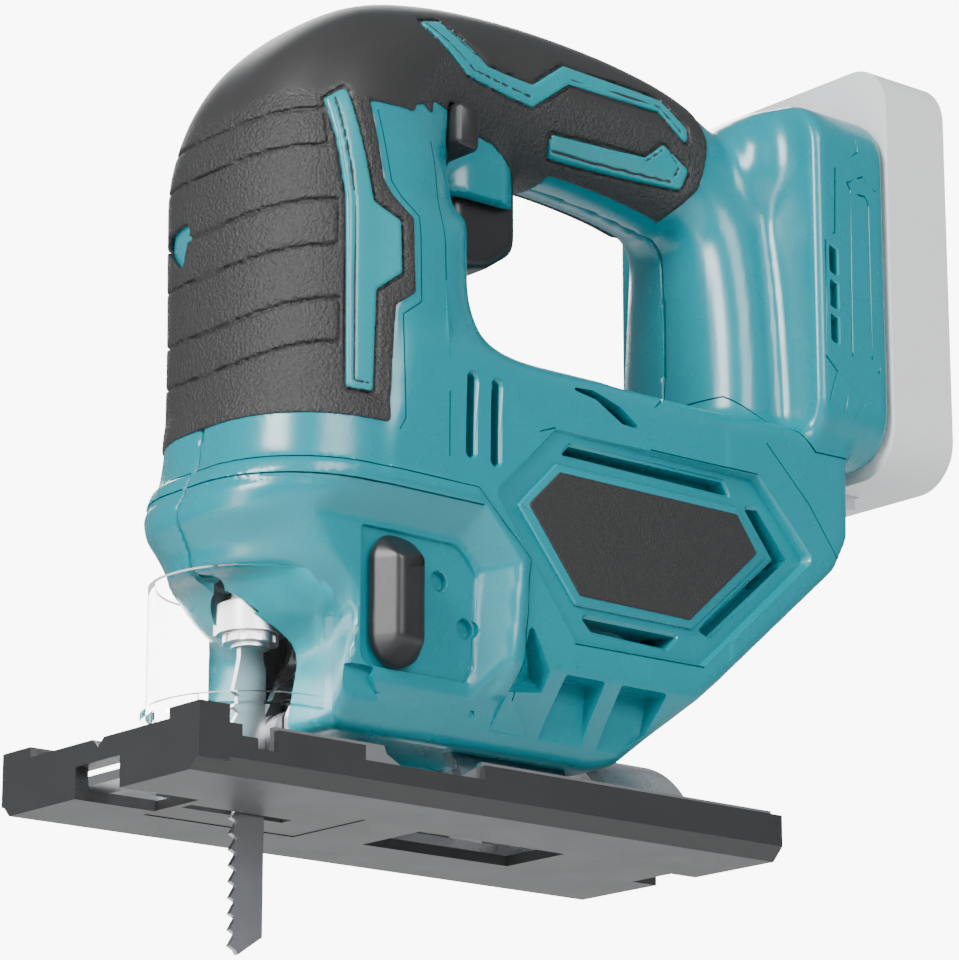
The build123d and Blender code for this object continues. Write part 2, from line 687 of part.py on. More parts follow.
def battery_top():
    """The pack's front half, with the guide rails that slide in the foot."""
    lid = battery_form((BATTERY_X[0], BATTERY_PARTING)) - battery_form((BATTERY_X[0] + 2, 200), 2.2)
    rails = pair_box((168.5, BATTERY_X[0] + 0.1), (22.6, 24.6), (112, 184))
    rails += pair_box((165.2, 168.6), (22.6, 27.9), (112, 184))
    tower = box((169.2, BATTERY_X[0] + 0.1), (-13, 13), (112, 180))
    tower -= pair_box((165, BATTERY_X[0] - 0.5), (4.5, 10.5), (148, 182))
    recess = box((BATTERY_X[0] - 1, 182), (-14.5, 14.5), (98, 110))
    return lid + rails + tower - recess - battery_terminals()


def battery_case():
    case = battery_form((BATTERY_PARTING, BATTERY_X[1]))
    rims = case.edges().filter_by(lambda e: abs(e.center().X - BATTERY_X[1]) < 0.01)
    case = chamfer(rims, 3.0)
    case -= battery_form((BATTERY_PARTING - 1, BATTERY_X[1] - 2.2), 2.2)
    return case - box((170, 182), (-14.5, 14.5), (98, 110))


def battery_cells():
    cells = None
    for z in (120, 138.4, 156.8, 175.2, 193.6):
        cell = rod_y(9.0, (-31, 31), 184.6, z)
        cells = cell if cells is None else cells + cell
    return cells


def battery_terminals():
    blades = None
    for y in (-7.5, 7.5):
        blade = box((168.4, 175), (y - 0.6, y + 0.6), (152, 176))
        blades = blade if blades is None else blades + blade
    return blades


def battery_latch():
    pad = box((161.5, 181), (-14, 14), (99.4, 102.8))
    return pad + box((173, 181), (-14, 14), (102.7, 107.6))


def terminal_block():
    return box((156.5, 161.4), (-17, 17), (108, 184)) & envelope(WALL)


def terminal_clips():
    clips = None
    for y in (-7.5, 7.5):
        clip = box((161.4, 171.0), (y - 2.2, y - 0.9), (156, 170))
        clip += box((161.4, 171.0), (y + 0.9, y + 2.2), (156, 170))
        clips = clip if clips is None else clips + clip
    return clips


def circuit_board():
    board = box((106, 146), (-17, 17), (95, 96.6))
    board += box((112, 120), (-8, 8), (96.5, 104)) + box((126, 132), (-12, -4), (96.5, 106))
    return board + rod_z(4, (96.5, 107), x=136, y=6)


# ---------------------------------------------------------------------------
# Everything, one file per named piece
# ---------------------------------------------------------------------------
def build():
    shell, grips = housing_shell()
    rubber_cuts = rod_y(LOCK_R + 0.4, (-40, 40), *LOCK_POS)
    rubber_cuts += box((TRIGGER_X[0] - 0.6, TRIGGER_X[1] + 0.6), (-9.6, 9.6), (150, 175))
    for x, z in SCREW_SPOTS:
        rubber_cuts += rod_y(3.0, (12.2, 40), x, z)
    nodes = {}
    for side, word in ((-1, "left"), (1, "right")):
        nodes["housing_" + word] = half_of(shell, side)
        nodes["nose_grip_" + word] = half_of(grips[0] - rubber_cuts, side)
        nodes["handle_grip_" + word] = half_of(grips[1] - rubber_cuts, side)
        nodes["badge_" + word] = badge(side)
        nodes["side_trim_" + word] = side_trim(side)
    nodes["housing_screws"] = housing_screws()
    nodes["led_lens"] = rod_z(2.0, (52.4, 57), x=LED_X)
    nodes["circuit_board"] = circuit_board()
    nodes["base_cover"] = base_cover()
    nodes["base_plate"] = base_plate()
    nodes["splinter_insert"] = splinter_insert()
    nodes["tilt_bracket"] = tilt_bracket()
    nodes["tilt_bolt"] = tilt_bolt()
    nodes["tilt_washer"] = tilt_washer()
    nodes["gearbox_frame"] = gearbox_frame()
    nodes["gear_axle"] = rod_x(AXLE_R, (GEAR_X[0], 33), z=GEAR_Z)
    nodes["lower_bush"] = ring_z(7.5, ROD_R + RUN_FIT, (62, 72))
    nodes["upper_bush"] = ring_z(7.5, ROD_R + RUN_FIT, (131, 141))
    nodes["plunger_rod"] = plunger_rod()
    nodes["plunger_yoke"] = plunger_yoke()
    nodes["blade_clamp"] = blade_clamp()
    nodes["clamp_collar"] = clamp_collar()
    nodes["jigsaw_blade"] = jigsaw_blade()
    nodes["drive_gear"] = drive_gear()
    nodes["crank_pin"] = crank_pin()
    nodes["counterweight"] = counterweight()
    nodes["roller_bracket"] = roller_bracket()
    nodes["bracket_pin"] = rod_y(2.0, (-23.2, 23.2), *BRACKET_PIVOT)
    nodes["roller_pin"] = rod_y(1.5, (-6.2, 6.2), *ROLLER_POS)
    nodes["guide_roller"] = guide_roller()
    nodes["chip_guard"] = chip_guard()
    nodes["selector_lever"] = selector_lever()
    nodes["selector_shaft"] = selector_shaft()
    nodes["trigger"] = trigger()
    nodes["trigger_spring"] = trigger_spring()
    nodes["switch_body"] = switch_body()
    nodes["lock_button"] = lock_button()
    nodes["motor_can"] = motor_can()
    nodes["motor_magnets"] = motor_magnets()
    nodes["motor_shaft"] = rod_x(SHAFT_R, (14.5, 104), z=MOTOR_Z)
    nodes["rotor_core"] = rotor_core()
    nodes["commutator"] = commutator()
    nodes["cooling_fan"] = cooling_fan()
    nodes["pinion"] = pinion()
    nodes["brush_holder"] = brush_holder()
    nodes["front_bearing"] = ring_x(8.0, SHAFT_R + RUN_FIT, (26.5, 30.5), z=MOTOR_Z)
    nodes["rear_bearing"] = ring_x(7.0, SHAFT_R + RUN_FIT, (97.2, 102), z=MOTOR_Z)
    nodes["battery_top"] = battery_top()
    nodes["battery_case"] = battery_case()
    nodes["battery_cells"] = battery_cells()
    nodes["battery_terminals"] = battery_terminals()
    nodes["battery_latch"] = battery_latch()
    nodes["terminal_block"] = terminal_block()
    nodes["terminal_clips"] = terminal_clips()
    return nodes


for name, shape in build().items():
    export_step(shape, f"parts/{name}.step")
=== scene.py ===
import json
import math

import bmesh
import bpy
import numpy as np
import openvdb
from mathutils import Matrix, Vector


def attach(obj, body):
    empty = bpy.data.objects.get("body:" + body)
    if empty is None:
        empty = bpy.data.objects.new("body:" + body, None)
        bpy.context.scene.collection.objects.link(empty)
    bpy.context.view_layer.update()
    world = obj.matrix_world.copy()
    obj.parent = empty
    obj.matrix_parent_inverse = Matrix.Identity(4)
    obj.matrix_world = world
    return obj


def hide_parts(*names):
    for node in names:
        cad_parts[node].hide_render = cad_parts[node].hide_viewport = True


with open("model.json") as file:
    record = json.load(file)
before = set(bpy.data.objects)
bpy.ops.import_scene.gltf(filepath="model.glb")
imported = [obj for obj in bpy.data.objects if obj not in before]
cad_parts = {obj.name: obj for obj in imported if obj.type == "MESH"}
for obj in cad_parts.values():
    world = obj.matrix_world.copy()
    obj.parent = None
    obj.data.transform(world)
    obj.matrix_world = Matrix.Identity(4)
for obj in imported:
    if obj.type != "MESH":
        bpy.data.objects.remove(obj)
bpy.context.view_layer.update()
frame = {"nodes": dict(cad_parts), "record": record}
MM = 0.001
VOXEL = 1.0  # grid step of the housing, mm; with 0.7 one of its cuts hung
SEAM = 0.05  # each housing half stops this far from the middle plane
PAST_SEAM = -1.2  # helper solids reach this far past it
SHARP = math.radians(34.0)


# ---------------------------------------------------------------- materials
TONE = 0.04  # share by which the colour varies
TONE_SCALE = 55.0
BUMP_HEIGHT = 0.4 * MM
GRIP_BUMP_HEIGHT = 0.7 * MM


def material(name, color, rough, metal=0.0, grain=(0.0, 1.0), rough_spread=0.08, coat=0.0):
    """Principled surface with small changes of tone and roughness. grain is the bump's (strength, size in mm)."""
    m = bpy.data.materials.new(name)
    m.use_nodes = True
    nt = m.node_tree
    b = nt.nodes["Principled BSDF"]
    b.inputs["Metallic"].default_value = metal
    b.inputs["Coat Weight"].default_value = coat
    b.inputs["Coat Roughness"].default_value = 0.15
    tc = nt.nodes.new("ShaderNodeTexCoord")
    big = nt.nodes.new("ShaderNodeTexNoise")
    big.inputs["Scale"].default_value = TONE_SCALE
    big.inputs["Detail"].default_value = 4.0
    nt.links.new(tc.outputs["Object"], big.inputs["Vector"])
    r = nt.nodes.new("ShaderNodeMapRange")
    r.inputs["To Min"].default_value = max(0.02, rough - rough_spread)
    r.inputs["To Max"].default_value = min(1.0, rough + rough_spread)
    nt.links.new(big.outputs["Fac"], r.inputs["Value"])
    nt.links.new(r.outputs["Result"], b.inputs["Roughness"])
    mix = nt.nodes.new("ShaderNodeMix")
    mix.data_type = "RGBA"
    mix.inputs["A"].default_value = (*[c * (1 - TONE) for c in color], 1)
    mix.inputs["B"].default_value = (*[min(1, c * (1 + TONE)) for c in color], 1)
    nt.links.new(big.outputs["Fac"], mix.inputs["Factor"])
    nt.links.new(mix.outputs["Result"], b.inputs["Base Color"])
    if grain[0] > 0:
        fine = nt.nodes.new("ShaderNodeTexNoise")
        fine.inputs["Scale"].default_value = 1000.0 / grain[1]
        fine.inputs["Detail"].default_value = 3.0
        fine.inputs["Roughness"].default_value = 0.6
        bump = nt.nodes.new("ShaderNodeBump")
        bump.inputs["Strength"].default_value = grain[0]
        bump.inputs["Distance"].default_value = BUMP_HEIGHT
        nt.links.new(tc.outputs["Object"], fine.inputs["Vector"])
        nt.links.new(fine.outputs["Fac"], bump.inputs["Height"])
        nt.links.new(bump.outputs["Normal"], b.inputs["Normal"])
    return m


def clear_material(name, color, rough, alpha):
    m = material(name, color, rough, rough_spread=0.02)
    b = m.node_tree.nodes["Principled BSDF"]
    b.inputs["Transmission Weight"].default_value = 1.0
    b.inputs["IOR"].default_value = 1.08
    b.inputs["Alpha"].default_value = alpha
    return m


def grip_material():
    """Soft black grip: leather grain on the panels and the lower side of the handle, smooth over the top."""
    m = material("soft_grip", (0.016, 0.0155, 0.0155), 0.5, grain=(1.0, 0.85), rough_spread=0.04)
    nt = m.node_tree
    bump = next(n for n in nt.nodes if n.type == "BUMP")
    bump.inputs["Distance"].default_value = GRIP_BUMP_HEIGHT
    tc = next(n for n in nt.nodes if n.type == "TEX_COORD")
    xyz = nt.nodes.new("ShaderNodeSeparateXYZ")
    nt.links.new(tc.outputs["Object"], xyz.inputs[0])
    edge = nt.nodes.new("ShaderNodeMapRange")
    edge.interpolation_type = "SMOOTHSTEP"
    edge.inputs["From Min"].default_value = 0.018
    edge.inputs["From Max"].default_value = 0.042
    edge.inputs["To Min"].default_value = 0.165
    edge.inputs["To Max"].default_value = 0.1865
    nt.links.new(xyz.outputs["X"], edge.inputs["Value"])
    below = nt.nodes.new("ShaderNodeMath")
    below.operation = "SUBTRACT"
    nt.links.new(edge.outputs["Result"], below.inputs[0])
    nt.links.new(xyz.outputs["Z"], below.inputs[1])
    mask = nt.nodes.new("ShaderNodeMapRange")
    mask.interpolation_type = "SMOOTHSTEP"
    mask.inputs["From Min"].default_value = -0.003
    mask.inputs["From Max"].default_value = 0.003
    mask.inputs["To Min"].default_value = 0.03
    mask.inputs["To Max"].default_value = 1.0
    nt.links.new(below.outputs[0], mask.inputs["Value"])
    nt.links.new(mask.outputs["Result"], bump.inputs["Strength"])
    return m


TEAL = material("teal_plastic", (0.0, 0.175, 0.215), 0.27, grain=(0.04, 0.35), rough_spread=0.05, coat=0.12)
TEAL_LIGHT = material("teal_trim", (0.003, 0.20, 0.235), 0.27, grain=(0.04, 0.35), rough_spread=0.05)
RUBBER = material("rubber_smooth", (0.016, 0.016, 0.016), 0.48, grain=(0.08, 0.25), rough_spread=0.05)
GRIP_LOOK = grip_material()
BLACK = material("black_plastic", (0.010, 0.010, 0.011), 0.38, grain=(0.1, 0.3))
SHOE = material("shoe_plastic", (0.018, 0.018, 0.0185), 0.42, grain=(0.12, 0.35))
BADGE = material("badge_black", (0.011, 0.011, 0.011), 0.6, grain=(1.0, 0.5))
STEEL = material("steel", (0.42, 0.42, 0.43), 0.3, 1.0, grain=(0.06, 0.4))
ZINC = material("zinc_steel", (0.5, 0.5, 0.51), 0.28, 1.0, grain=(0.05, 0.6))
DARK_STEEL = material("dark_steel", (0.28, 0.28, 0.3), 0.38, 1.0, grain=(0.1, 0.4))
ALUMINIUM = material("aluminium", (0.7, 0.71, 0.73), 0.42, 1.0, grain=(0.2, 0.6))
BRONZE = material("bronze", (0.55, 0.36, 0.16), 0.4, 1.0, grain=(0.1, 0.4))
COPPER = material("copper", (0.72, 0.38, 0.22), 0.3, 1.0, grain=(0.05, 0.4))
PALE = material("pale_plastic", (0.62, 0.625, 0.63), 0.42, grain=(0.08, 0.3), rough_spread=0.05)
BOARD = material("board_green", (0.02, 0.16, 0.07), 0.4, grain=(0.1, 0.6))
WRAP = material("cell_wrap", (0.05, 0.22, 0.2), 0.35, grain=(0.03, 0.5))
CLEAR = clear_material("clear_plastic", (0.97, 0.98, 0.985), 0.02, 1.0)
LENS = clear_material("lamp_lens", (0.95, 0.95, 0.9), 0.08, 0.8)


# ---------------------------------------------------------------- meshes
def add_object(name, me):
    ob = bpy.data.objects.new(name, me)
    bpy.context.scene.collection.objects.link(ob)
    return ob


def new_mesh(name, points, faces):
    """Object from points in mm and a list of arrays of faces."""
    me = bpy.data.meshes.new(name)
    points = np.asarray(points, np.float32) * MM
    me.vertices.add(len(points))
    me.vertices.foreach_set("co", points.ravel())
    groups = [np.asarray(f, np.int32) for f in faces if len(f)]
    sizes = np.concatenate([np.full(len(g), g.shape[1], np.int32) for g in groups])
    loops = np.concatenate([g.ravel() for g in groups]).astype(np.int32)
    me.loops.add(len(loops))
    me.loops.foreach_set("vertex_index", loops)
    me.polygons.add(len(sizes))
    starts = np.concatenate([[0], np.cumsum(sizes)[:-1]]).astype(np.int32)
    me.polygons.foreach_set("loop_start", starts)
    me.polygons.foreach_set("use_smooth", np.ones(len(sizes), bool))
    me.update(calc_edges=True)
    me.validate()
    return add_object(name, me)


def finish_piece(ob, mat, body, replaces):
    """Material and shading of a piece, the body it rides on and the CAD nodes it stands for."""
    ob.data.materials.clear()
    ob.data.materials.append(mat)
    ob.data.polygons.foreach_set("use_smooth", np.ones(len(ob.data.polygons), bool))
    ob.data.set_sharp_from_angle(angle=SHARP)
    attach(ob, body)
    if replaces:
        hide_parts(*replaces)


def outline_offset(pts, grow):
    """Outline of (a, b) points moved outwards by grow, any winding."""
    p = np.asarray(pts, float)
    area = 0.5 * np.sum(p[:, 0] * np.roll(p[:, 1], -1) - np.roll(p[:, 0], -1) * p[:, 1])
    if area < 0:
        p = p[::-1]
    before, after = np.roll(p, 1, 0), np.roll(p, -1, 0)
    d1 = (p - before) / np.linalg.norm(p - before, axis=1, keepdims=True)
    d2 = (after - p) / np.linalg.norm(after - p, axis=1, keepdims=True)
    n1 = np.stack([d1[:, 1], -d1[:, 0]], 1)
    n2 = np.stack([d2[:, 1], -d2[:, 0]], 1)
    n = n1 + n2
    n /= np.maximum(0.35, 1 + np.sum(n1 * n2, 1))[:, None]
    return p + n * grow


def rounded(pts, r, steps=5):
    """Outline with its corners rounded. r is one radius or one per corner."""
    p = [Vector(q) for q in pts]
    out = []
    for i, c in enumerate(p):
        radius = r[i] if isinstance(r, (list, tuple)) else r
        a, b = p[i - 1] - c, p[(i + 1) % len(p)] - c
        angle = a.angle(b, math.pi)
        if radius <= 0.01 or angle > math.radians(176):
            out.append(tuple(c))
            continue
        cut = min(radius / math.tan(angle / 2), 0.49 * a.length, 0.49 * b.length)
        radius = cut * math.tan(angle / 2)
        s, e = c + a.normalized() * cut, c + b.normalized() * cut
        centre = c + (a.normalized() + b.normalized()).normalized() * (radius / math.sin(angle / 2))
        v0, v1 = s - centre, e - centre
        turn = v0.angle_signed(v1)
        for k in range(steps + 1):
            t = -turn * k / steps
            out.append((centre.x + v0.x * math.cos(t) - v0.y * math.sin(t),
                        centre.y + v0.x * math.sin(t) + v0.y * math.cos(t)))
    return out


def fix_normals(ob):
    bm = bmesh.new()
    bm.from_mesh(ob.data)
    bmesh.ops.recalc_face_normals(bm, faces=bm.faces)
    bm.to_mesh(ob.data)
    bm.free()


def flip_side(me):
    """Mirror a mesh in the middle plane."""
    me.transform(Matrix.Scale(-1, 4, (0, 1, 0)))
    me.flip_normals()


def mirrored(ob, name):
    me = ob.data.copy()
    flip_side(me)
    return add_object(name, me)


def triangulate(ob):
    """Split the faces of five or more sides, which upset the next cut."""
    bm = bmesh.new()
    bm.from_mesh(ob.data)
    bmesh.ops.triangulate(bm, faces=[f for f in bm.faces if len(f.verts) > 4])
    bm.to_mesh(ob.data)
    bm.free()


def cut_out(ob, cutter, keep=False):
    """Take a closed solid away from another. The cutter is deleted unless it is kept."""
    if not keep:
        triangulate(cutter)
    mod = ob.modifiers.new("cut", "BOOLEAN")
    mod.operation = "DIFFERENCE"
    mod.solver = "MANIFOLD"
    mod.object = cutter
    bpy.context.view_layer.update()
    dg = bpy.context.evaluated_depsgraph_get()
    me = bpy.data.meshes.new_from_object(ob.evaluated_get(dg))
    ob.modifiers.remove(mod)
    old = ob.data
    ob.data = me
    bpy.data.meshes.remove(old)
    triangulate(ob)
    if not keep:
        drop(cutter)


def drop(ob):
    me = ob.data
    bpy.data.objects.remove(ob)
    if me.users == 0:
        bpy.data.meshes.remove(me)


# ---------------------------------------------------------------- distance fields, in mm
class Grid:
    def __init__(self, x, y, z, h):
        self.h = h
        self.lo = (x[0], y[0], z[0])
        self.x = np.arange(x[0], x[1] + h, h, dtype=np.float32)[:, None, None]
        self.y = np.arange(y[0], y[1] + h, h, dtype=np.float32)[None, :, None]
        self.z = np.arange(z[0], z[1] + h, h, dtype=np.float32)[None, None, :]

    def mesh(self, name, d, adaptivity=0.0, half=None):
        """Closed mesh where d is below zero. With half, d is for y > 0 and the mesh is its mirror, cut at y = -half.

        The corners of each face are reversed, which turns the mesh inside out: an open fault.
        """
        h = self.h
        lo = list(self.lo)
        if half is not None:
            d = np.maximum(d, half - self.y)[:, ::-1]
            lo[1] = -(self.lo[1] + (self.y.shape[1] - 1) * h)
        reach = 3 * h
        d = np.clip(d, -reach, reach).astype(np.float32)
        grid = openvdb.FloatGrid(reach)
        grid.copyFromArray(np.ascontiguousarray(d), tolerance=0.0)
        pts, tris, quads = grid.convertToPolygons(0.0, adaptivity)
        pts = np.asarray(pts) * h + np.array(lo)
        return new_mesh(name, pts, [np.asarray(tris)[:, ::-1] if len(tris) else [], np.asarray(quads)[:, ::-1]])


def poly2(px, pz, pts):
    """Signed distance to a closed outline in a plane."""
    d = np.full(np.broadcast(px, pz).shape, 1e9, np.float32)
    inside = np.zeros(d.shape, bool)
    n = len(pts)
    for i in range(n):
        ax, az = pts[i]
        bx, bz = pts[(i + 1) % n]
        ex, ez = bx - ax, bz - az
        wx, wz = px - ax, pz - az
        t = np.clip((wx * ex + wz * ez) / (ex * ex + ez * ez + 1e-9), 0, 1)
        d = np.minimum(d, (wx - ex * t) ** 2 + (wz - ez * t) ** 2)
        cross = ((az > pz) != (bz > pz)) & (px < ex * (pz - az) / (ez + (1e-9 if ez == 0 else 0)) + ax)
        inside ^= cross
    return np.where(inside, -1, 1) * np.sqrt(d)


def thick(d2, across, r):
    """Outline distance d2 joined with a distance across, the edge between them rounded by r."""
    a, b = d2 + r, across + r
    return np.minimum(np.maximum(a, b), 0) + np.sqrt(np.maximum(a, 0) ** 2 + np.maximum(b, 0) ** 2) - r


def smin(a, b, k):
    """Smaller of two distances, blended over k."""
    h = np.maximum(k - np.abs(a - b), 0) / k
    return np.minimum(a, b) - h * h * k * 0.25


def smax(a, b, k):
    return -smin(-a, -b, k)


def ramp(v, knots):
    return np.interp(v, [k[0] for k in knots], [k[1] for k in knots]).astype(np.float32)


def spline(p, i, u):
    """Point at u on the smooth curve from p[i] to p[i + 1]."""
    p0, p1, p2, p3 = p[max(i - 1, 0)], p[i], p[i + 1], p[min(i + 2, len(p) - 1)]
    return 0.5 * (2 * p1 + (p2 - p0) * u + (2 * p0 - 5 * p1 + 4 * p2 - p3) * u * u
                  + (3 * p1 - p0 - 3 * p2 + p3) * u ** 3)


def sweep_field(g, knots):
    """Tube along a line in the middle plane. knots are (x, z, in-plane radius, half width, squareness)."""
    k = np.array(knots, float)
    t = np.linspace(0, len(k) - 1, 20 * (len(k) - 1) + 1)
    fine = []
    for v in t:
        i = min(int(v), len(k) - 2)
        fine.append(spline(k, i, v - i))
    fine = np.array(fine)
    x, z = g.x, g.z
    best = np.full(np.broadcast(x, z).shape, 1e9, np.float32)
    vals = [np.zeros_like(best) for _ in range(3)]
    for a, b in zip(fine[:-1], fine[1:]):
        e = b[:2] - a[:2]
        u = np.clip(((x - a[0]) * e[0] + (z - a[1]) * e[1]) / (e @ e), 0, 1)
        d = np.sqrt((x - a[0] - e[0] * u) ** 2 + (z - a[1] - e[1] * u) ** 2)
        m = d < best
        best = np.where(m, d, best)
        for j in range(3):
            vals[j] = np.where(m, a[2 + j] + (b[2 + j] - a[2 + j]) * u, vals[j])
    rb, ra, n = vals
    q = ((best / rb) ** n + (np.abs(g.y) / ra) ** n) ** (1 / n)
    return ((q - 1) * np.minimum(ra, rb)).astype(np.float32)


LOOP = [
    (14.5, 66, 28.3, 31, 2.6), (14.5, 90, 28.3, 31, 2.6), (14.5, 115, 28.3, 31, 2.6), (14.8, 138, 28.7, 31, 2.7),
    (16, 152, 29.0, 30.6, 2.85), (20.5, 164.5, 27.6, 28.6, 2.85), (30.5, 175.5, 24.3, 24.6, 2.6),
    (45, 182.6, 21.2, 20.5, 2.3), (64, 186.2, 19.8, 17.6, 2.2), (84, 186.8, 19.4, 17, 2.15),
    (104, 185.4, 19.2, 17, 2.15),
    (120, 182.4, 18.6, 17, 2.2), (133, 176.5, 16.5, 17.6, 2.3), (140.5, 165, 14.5, 19.5, 2.4),
    (141.5, 148, 13.5, 22, 2.5), (141.5, 128, 13.5, 23.5, 2.6), (141.5, 104, 14.5, 24.5, 2.6),
]
BODY = rounded([(3.5, 17.3), (82, 17.3), (89, 19.5), (101.8, 30.5), (154.8, 75.8), (159.6, 84.5), (160, 108),
                (128, 111.5), (20, 111.5), (12, 60)], [3, 3, 3, 3, 3, 3, 2, 5, 5, 3])
WEB = rounded([(10, 92), (10, 146), (44.6, 146), (45.2, 110.8), (84, 110.8), (84, 92)], [2, 2, 2, 24, 2, 2],
              steps=8)
# band that runs round the nose and frames the bay of the lever, and the bay itself at its rim and on its floor
BAND = [(-60, 77), (39.7, 76.5), (55.3, 62.2), (52.7, 29), (45.9, 29.2), (48.6, 32.7), (51.6, 60.9), (41.3, 72.5),
        (-60, 72.7)]
BAY_OPEN = [(-60, 72.7), (41.3, 72.5), (51.6, 60.9), (48.8, 32.7), (47.0, 16), (46, -60), (-60, -60)]
BAY_FLOOR = [(9.7, 63.6), (20, 63.6), (37.6, 63.4), (43.2, 57.6), (41.6, 35.2), (40.0, 31.8), (9.7, 31.8)]
BAY_Y = -27.3
# soft grip, seen from the side
GRIP = [(-60, 87), (14.4, 87.4), (16.3, 115.8), (21.6, 119.6), (21.1, 137.9), (15.7, 142.1), (13.2, 145.7),
        (10.5, 165), (24.7, 166), (26.2, 168.3), (28.8, 169.2), (32.1, 167.4), (33, 171.5), (45, 171), (60, 170),
        (69, 165.6), (76, 160), (80, 150), (113, 150), (118, 163), (125.7, 172.8), (129, 186.4), (128.1, 193.4),
        (127, 230), (-60, 230)]
BAR = [(-0.8, 163.5), (4.4, 167.3), (10.1, 139.7), (17.3, 136.2), (17.7, 123.7), (10.9, 118.5), (10.1, 94), (3.4, 94),
       (2.9, 139.8)]
ZIGZAG = [(32.7, 193.6), (40.5, 196), (54.5, 187.4), (69.9, 186.9), (81, 195), (113.8, 194.3), (121.7, 188),
          (121.4, 183.2), (112.4, 190.3), (82, 190), (70.4, 181.3), (47, 182.8)]
ARROW = [(77, 176.7), (108, 177.4), (113.2, 181.8), (121.8, 177), (120.6, 171.9), (79.8, 171.9)]
HEX = [(63.4, 94.4), (45.8, 76.4), (69.3, 45), (109.6, 45.4), (146, 77), (128.1, 94.7)]
HEX_FRAME = [(63.3, 87), (123.1, 87.1), (133.6, 75.7), (107.4, 53.3), (69, 53), (50.7, 74.5)]
PLATE = [(64.2, 84.6), (122.5, 84.8), (129.2, 76), (106, 55.6), (70.3, 55.7), (54.3, 75.1)]
SCALLOPS = [[(55.8, 46.5), (61.6, 36.3), (59.8, 21.8), (48.6, 21.8)],
            [(67.0, 36.4), (78.6, 36.4), (77.0, 21.8), (63.4, 21.8)],
            [(84.2, 36.4), (98.0, 36.4), (95.4, 27.1), (88.4, 21.8), (81.4, 21.8)]]
SCALLOP_Y = -25.6
SIDE = -33.2


def hex_floor(x):
    """Depth of the hexagon's floor, which slopes a little from front to back."""
    return SIDE + 0.5 + 2.7 * (np.asarray(x) - 46) / 100


def rounded_rect(dx, dy, r):
    """Distance to a rectangle from the distances past its two sides, with corners rounded by r."""
    qx, qy = dx + r, dy + r
    return np.minimum(np.maximum(qx, qy), 0) + np.sqrt(np.maximum(qx, 0) ** 2 + np.maximum(qy, 0) ** 2) - r


def blur(d, times):
    """Smooth a field made for y > 0, whose first layer lies past the middle plane."""
    for _ in range(times):
        for axis in range(3):
            p = np.moveaxis(d, axis, 0)
            q = p.copy()
            q[1:-1] = 0.25 * (p[:-2] + 2 * p[1:-1] + p[2:])
            if axis == 1:
                q[0] = 0.5 * (p[0] + p[1])
            d = np.moveaxis(q, 0, axis)
    return d


def housing_field(g):
    """Outside of the housing: loop handle, web, body, nose, battery foot, trigger shroud and nose band."""
    ay = np.abs(g.y)
    x, z = g.x, g.z
    loop = sweep_field(g, LOOP)
    d2 = poly2(x, z, BODY)
    half = ramp(z, [(17, 24.2), (19, 24.6), (26, 27), (37, 32.6), (42, -SIDE), (300, -SIDE)])
    open_bay = np.clip(poly2(x, z, BAY_OPEN) * -0.66, 0, 4.9)
    rr = 1.2 + 6.8 * ramp(z, [(88, 0), (104, 1)]) * ramp(x, [(122, 1), (146, 0)])
    body = thick(d2, (ay - half) * 0.93, rr)
    web = thick(poly2(x, z, WEB), ay - 31.0, 13.0)
    d = smin(loop, web, 6.0)
    d = smin(d, body, 6.0)
    front = ramp(z, [(53, -17.4), (58, -17.8), (65, -21.6), (70, -20.8), (73, -18.2), (80, -15.4), (90, -14)])
    wide = ramp(z, [(53, 24), (58, 26.4), (64, 28.6), (70, 31.4), (73, 32.4), (80, 32.4), (87, 31.6), (92, 31)])
    rad = np.minimum(wide - 0.5, 26)
    cx, hx = (front + 34) / 2, (34 - front) / 2
    plan = rounded_rect(np.abs(x - cx) - hx, ay - wide, rad)
    nose = thick(plan * 0.86, np.abs(z - 72.6) - 19.6, 1.5)
    d = smin(d, nose, 2.5)
    section = thick(np.abs(z - 151.5) - 46.5, ay - 37.3, 13.0)
    foot = thick(section, np.abs(x - 159.0) - 12.4, 1.8)
    neck = thick(thick(np.abs(z - 184) - 12, ay - 23, 11.0), np.abs(x - 147) - 8, 5)
    d = smin(d, smin(foot, neck, 9.0), 4.5)
    d = blur(d, 2)
    shroud2 = thick(np.abs(x - 58.5) - 14.5, ay - 13.4, 12.0)
    shroud = thick(shroud2, np.abs(z - 166) - 10.0, 1.2)
    d = smin(d, shroud, 3.0)
    d = smax(d, ay + open_bay - 33.1 - 20 * ramp(x, [(118, 0), (134, 1)]), 0.8)
    band = thick(poly2(x, z, BAND), d - 0.8, 0.5)
    return np.minimum(d, np.maximum(band, -(d + 2)))


def loft(name, rings, plane="side"):
    """Closed solid through rings of one count. A ring is (outline, distance), with one distance or one per point."""
    made = []
    for ring, third in rings:
        ring = np.asarray(ring, float)
        third = np.broadcast_to(np.asarray(third, float), (len(ring),))[:, None]
        if plane == "side":
            made.append(np.hstack([ring[:, :1], third, ring[:, 1:]]))
        else:
            made.append(np.hstack([ring, third]))
    n = len(made[0])
    faces = [(k * n + i, k * n + (i + 1) % n, (k + 1) * n + (i + 1) % n, (k + 1) * n + i)
             for k in range(len(made) - 1) for i in range(n)]
    faces += [tuple(range(n))[::-1], tuple(range((len(made) - 1) * n, len(made) * n))]
    return solid(name, np.vstack(made), faces)


def solid(name, verts, faces):
    """Object from points in mm and faces, its normals turned outwards."""
    me = bpy.data.meshes.new(name)
    me.from_pydata((verts * MM).tolist(), [], faces)
    ob = add_object(name, me)
    fix_normals(ob)
    return ob


